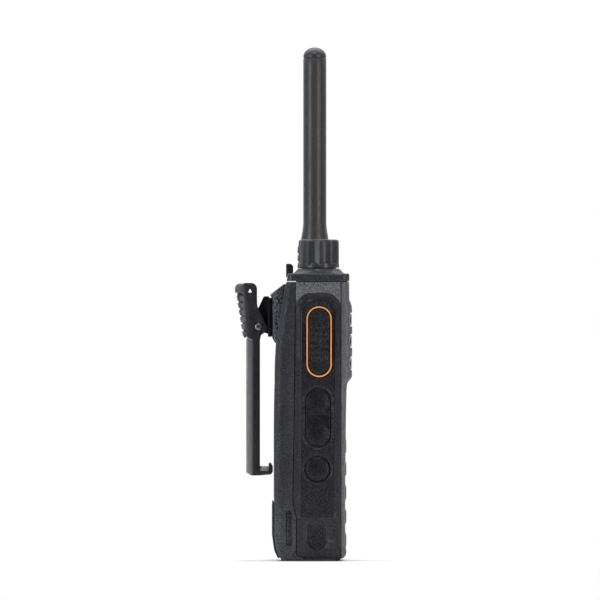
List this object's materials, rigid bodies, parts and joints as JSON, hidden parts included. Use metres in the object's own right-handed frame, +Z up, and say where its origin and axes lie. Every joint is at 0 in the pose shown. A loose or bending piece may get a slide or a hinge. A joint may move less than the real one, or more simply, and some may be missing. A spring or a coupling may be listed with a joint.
{
  "type": "portable radio",
  "caption": "Handheld two-way radio with side push-to-talk key, fluted knob, whip antenna, keypad, removable battery pack and sprung belt clip.",
  "frame": {"origin": "middle of the whole object's box at the level of the base", "axes": "+X towards the front with the display and keys, -Y towards the push-to-talk side, +Z up along the antenna"},
  "size_m": [0.044, 0.0552, 0.1927],
  "materials": {
    "housing_plastic": "fine moulded grain",
    "bezel_plastic": "satin",
    "cap_plastic": "satin",
    "battery_plastic": "fine moulded grain",
    "textured_plastic": "coarse moulded grain",
    "clip_plastic": "satin",
    "grip_rubber": "matt",
    "panel_rubber": "matt",
    "button_rubber": "soft satin",
    "ring_orange": "satin",
    "key_plastic": "satin",
    "knob_plastic": "satin",
    "antenna_rubber": "smooth semi-gloss",
    "seal_rubber": "matt",
    "lens_glass": "gloss",
    "display_face": "matt",
    "board_laminate": "solder mask",
    "steel": "plated",
    "cast_aluminium": "die cast",
    "brass": "plated",
    "speaker_black": "matt",
    "latch_plastic": "satin",
    "cell_wrap": "shrink wrap"
  },
  "bodies": {
    "radio_body": {"housing": "housing_plastic", "front_panel": "bezel_plastic", "top_cap": "cap_plastic", "strap_lug": "cap_plastic", "side_panel": "panel_rubber", "side_switches": "board_laminate", "chassis": "cast_aluminium", "chassis_screw_near": "steel", "chassis_screw_far": "steel", "case_seal": "seal_rubber", "main_board": "board_laminate", "rf_shield": "steel", "radio_contacts": "brass", "speaker": "speaker_black", "speaker_mesh": "steel", "microphone": "steel", "display_module": "display_face", "display_lens": "lens_glass", "keypad_mat": "panel_rubber", "volume_pot": "steel", "antenna_socket": "brass", "accessory_socket": "speaker_black"},
    "ptt_assembly": {"ptt_button": "button_rubber", "ptt_ring": "ring_orange"},
    "rocker_assembly": {"side_rocker": "button_rubber"},
    "round_key_assembly": {"side_key": "button_rubber"},
    "key_1_cap": {"key_1": "key_plastic"},
    "key_2_cap": {"key_2": "key_plastic"},
    "key_3_cap": {"key_3": "key_plastic"},
    "key_4_cap": {"key_4": "key_plastic"},
    "key_5_cap": {"key_5": "key_plastic"},
    "key_6_cap": {"key_6": "key_plastic"},
    "key_7_cap": {"key_7": "key_plastic"},
    "key_8_cap": {"key_8": "key_plastic"},
    "key_9_cap": {"key_9": "key_plastic"},
    "key_star_cap": {"key_star": "key_plastic"},
    "key_0_cap": {"key_0": "key_plastic"},
    "key_hash_cap": {"key_hash": "key_plastic"},
    "key_menu_cap": {"key_menu": "key_plastic"},
    "key_back_cap": {"key_back": "key_plastic"},
    "nav_pad_cap": {"nav_pad": "key_plastic"},
    "knob_assembly": {"volume_knob": "knob_plastic", "volume_shaft": "cast_aluminium"},
    "gasket_ring": {"antenna_gasket": "seal_rubber"},
    "antenna_assembly": {"antenna_whip": "antenna_rubber", "antenna_stud": "brass"},
    "socket_cover": {"accessory_cover": "panel_rubber"},
    "latch_slider": {"battery_latch": "latch_plastic"},
    "battery_pack": {"battery_case": "battery_plastic", "battery_lid": "battery_plastic", "battery_cells": "cell_wrap", "battery_contacts": "brass", "battery_foot": "battery_plastic", "clip_mount": "textured_plastic", "clip_base": "clip_plastic", "clip_screw": "steel", "clip_pin": "steel", "clip_spring": "steel"},
    "belt_clip": {"clip_lever": "clip_plastic", "clip_grip": "grip_rubber"}
  },
  "joints": [
    {"name": "ptt_press", "type": "slide", "parent": "radio_body", "child": "ptt_assembly", "axis": [0, 1, 0], "range_m": [0, 0.0008], "stiffness_N_per_m": 3000, "springref_m": -0.0006},
    {"name": "rocker_tilt", "type": "hinge", "parent": "radio_body", "child": "rocker_assembly", "pos_m": [0.0092, -0.0252, 0.05365], "axis": [1, 0, 0], "range_deg": [-3, 3], "stiffness_Nm_per_rad": 0.3},
    {"name": "round_key_press", "type": "slide", "parent": "radio_body", "child": "round_key_assembly", "axis": [0, 1, 0], "range_m": [0, 0.0005], "stiffness_N_per_m": 3000, "springref_m": -0.0004},
    {"name": "key_1_press", "type": "slide", "parent": "radio_body", "child": "key_1_cap", "axis": [-1, 0, 0], "range_m": [0, 0.0005], "stiffness_N_per_m": 2500, "springref_m": -0.0003},
    {"name": "key_2_press", "type": "slide", "parent": "radio_body", "child": "key_2_cap", "axis": [-1, 0, 0], "range_m": [0, 0.0005], "stiffness_N_per_m": 2500, "springref_m": -0.0003},
    {"name": "key_3_press", "type": "slide", "parent": "radio_body", "child": "key_3_cap", "axis": [-1, 0, 0], "range_m": [0, 0.0005], "stiffness_N_per_m": 2500, "springref_m": -0.0003},
    {"name": "key_4_press", "type": "slide", "parent": "radio_body", "child": "key_4_cap", "axis": [-1, 0, 0], "range_m": [0, 0.0005], "stiffness_N_per_m": 2500, "springref_m": -0.0003},
    {"name": "key_5_press", "type": "slide", "parent": "radio_body", "child": "key_5_cap", "axis": [-1, 0, 0], "range_m": [0, 0.0005], "stiffness_N_per_m": 2500, "springref_m": -0.0003},
    {"name": "key_6_press", "type": "slide", "parent": "radio_body", "child": "key_6_cap", "axis": [-1, 0, 0], "range_m": [0, 0.0005], "stiffness_N_per_m": 2500, "springref_m": -0.0003},
    {"name": "key_7_press", "type": "slide", "parent": "radio_body", "child": "key_7_cap", "axis": [-1, 0, 0], "range_m": [0, 0.0005], "stiffness_N_per_m": 2500, "springref_m": -0.0003},
    {"name": "key_8_press", "type": "slide", "parent": "radio_body", "child": "key_8_cap", "axis": [-1, 0, 0], "range_m": [0, 0.0005], "stiffness_N_per_m": 2500, "springref_m": -0.0003},
    {"name": "key_9_press", "type": "slide", "parent": "radio_body", "child": "key_9_cap", "axis": [-1, 0, 0], "range_m": [0, 0.0005], "stiffness_N_per_m": 2500, "springref_m": -0.0003},
    {"name": "key_star_press", "type": "slide", "parent": "radio_body", "child": "key_star_cap", "axis": [-1, 0, 0], "range_m": [0, 0.0005], "stiffness_N_per_m": 2500, "springref_m": -0.0003},
    {"name": "key_0_press", "type": "slide", "parent": "radio_body", "child": "key_0_cap", "axis": [-1, 0, 0], "range_m": [0, 0.0005], "stiffness_N_per_m": 2500, "springref_m": -0.0003},
    {"name": "key_hash_press", "type": "slide", "parent": "radio_body", "child": "key_hash_cap", "axis": [-1, 0, 0], "range_m": [0, 0.0005], "stiffness_N_per_m": 2500, "springref_m": -0.0003},
    {"name": "key_menu_press", "type": "slide", "parent": "radio_body", "child": "key_menu_cap", "axis": [-1, 0, 0], "range_m": [0, 0.0005], "stiffness_N_per_m": 2500, "springref_m": -0.0003},
    {"name": "key_back_press", "type": "slide", "parent": "radio_body", "child": "key_back_cap", "axis": [-1, 0, 0], "range_m": [0, 0.0005], "stiffness_N_per_m": 2500, "springref_m": -0.0003},
    {"name": "nav_pad_press", "type": "slide", "parent": "radio_body", "child": "nav_pad_cap", "axis": [-1, 0, 0], "range_m": [0, 0.0005], "stiffness_N_per_m": 2500, "springref_m": -0.0003},
    {"name": "volume_turn", "type": "hinge", "parent": "radio_body", "child": "knob_assembly", "pos_m": [0.0095, -0.0135, 0.1098], "axis": [0, 0, 1], "range_deg": [-270, 0]},
    {"name": "antenna_unscrew", "type": "hinge", "parent": "gasket_ring", "child": "antenna_assembly", "pos_m": [0.008, 0.013, 0.1096], "axis": [0, 0, 1], "range_deg": [0, 2160]},
    {"name": "antenna_lift", "type": "slide", "parent": "radio_body", "child": "gasket_ring", "axis": [0, 0, 1], "range_m": [0, 0.006]},
    {"name": "cover_swing", "type": "hinge", "parent": "radio_body", "child": "socket_cover", "pos_m": [0.0035, 0.027, 0.0835], "axis": [0, 0, 1], "range_deg": [0, 110]},
    {"name": "latch_press", "type": "slide", "parent": "radio_body", "child": "latch_slider", "axis": [0, 0, 1], "range_m": [0, 0.0012], "stiffness_N_per_m": 900, "springref_m": -0.0008},
    {"name": "battery_tilt", "type": "hinge", "parent": "radio_body", "child": "battery_pack", "pos_m": [-0.002, 0, 0.1041], "axis": [0, 1, 0], "range_deg": [0, 15]},
    {"name": "clip_open", "type": "hinge", "parent": "battery_pack", "child": "belt_clip", "pos_m": [-0.01305, 0, 0.0877], "axis": [0, 1, 0], "range_deg": [0, 15], "stiffness_Nm_per_rad": 0.8, "springref_deg": -14.32, "deforming": ["clip_spring"]}
  ],
  "couplings": [
    {"joint": "antenna_unscrew", "follows": "antenna_lift", "rad_per_m": 6283.2}
  ]
}
